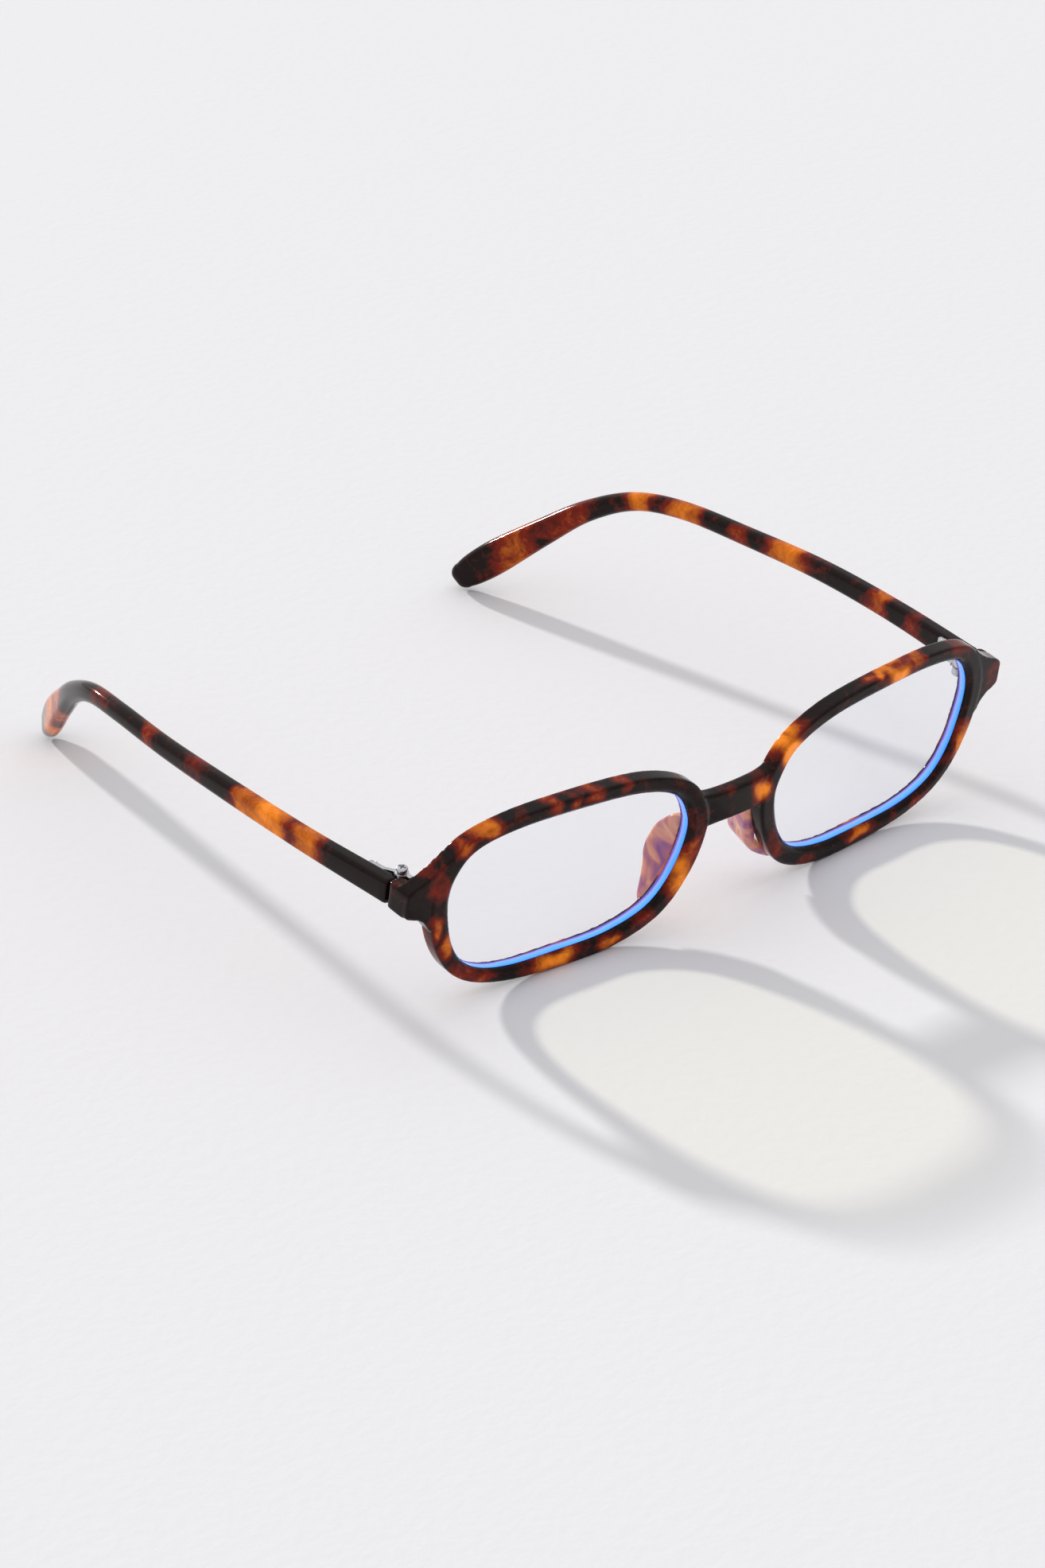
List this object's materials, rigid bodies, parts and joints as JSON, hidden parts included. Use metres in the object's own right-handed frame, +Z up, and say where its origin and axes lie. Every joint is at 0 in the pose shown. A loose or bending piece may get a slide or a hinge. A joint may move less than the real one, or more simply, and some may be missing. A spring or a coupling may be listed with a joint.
{
  "type": "blue light glasses",
  "caption": "Full-rim tortoiseshell plastic glasses with clear blue-filter lenses, swept nose pads and folding temples on screw hinges.",
  "frame": {"origin": "middle of the bounding box at its bottom, on the surface the open pair stands on", "axes": "+X from the left lens to the right lens as seen from the front, +Y backwards along the temples, +Z up; the front faces -Y and leans back 9.6 degrees"},
  "size_m": [0.1404, 0.1352, 0.0355],
  "materials": {
    "tortoise_plastic": "polished tortoiseshell",
    "coated_lens": "clear with a blue-violet reflection",
    "hinge_metal": "satin"
  },
  "bodies": {
    "front": {"frame_front": "tortoise_plastic", "right_lens": "coated_lens", "right_nose_pad": "tortoise_plastic", "right_front_hinge_leaf": "hinge_metal", "right_hinge_screw": "hinge_metal", "left_lens": "coated_lens", "left_nose_pad": "tortoise_plastic", "left_front_hinge_leaf": "hinge_metal", "left_hinge_screw": "hinge_metal"},
    "right_arm": {"right_temple": "tortoise_plastic", "right_temple_hinge_leaf": "hinge_metal"},
    "left_arm": {"left_temple": "tortoise_plastic", "left_temple_hinge_leaf": "hinge_metal"}
  },
  "joints": [
    {"name": "right_temple_fold", "type": "hinge", "parent": "front", "child": "right_arm", "pos_m": [0.0648, -0.05489, 0.02399], "axis": [0, -0.1664, 0.9861], "range_deg": [0, 88]},
    {"name": "left_temple_fold", "type": "hinge", "parent": "front", "child": "left_arm", "pos_m": [-0.0648, -0.05489, 0.02399], "axis": [0, 0.1664, -0.9861], "range_deg": [0, 84]}
  ]
}
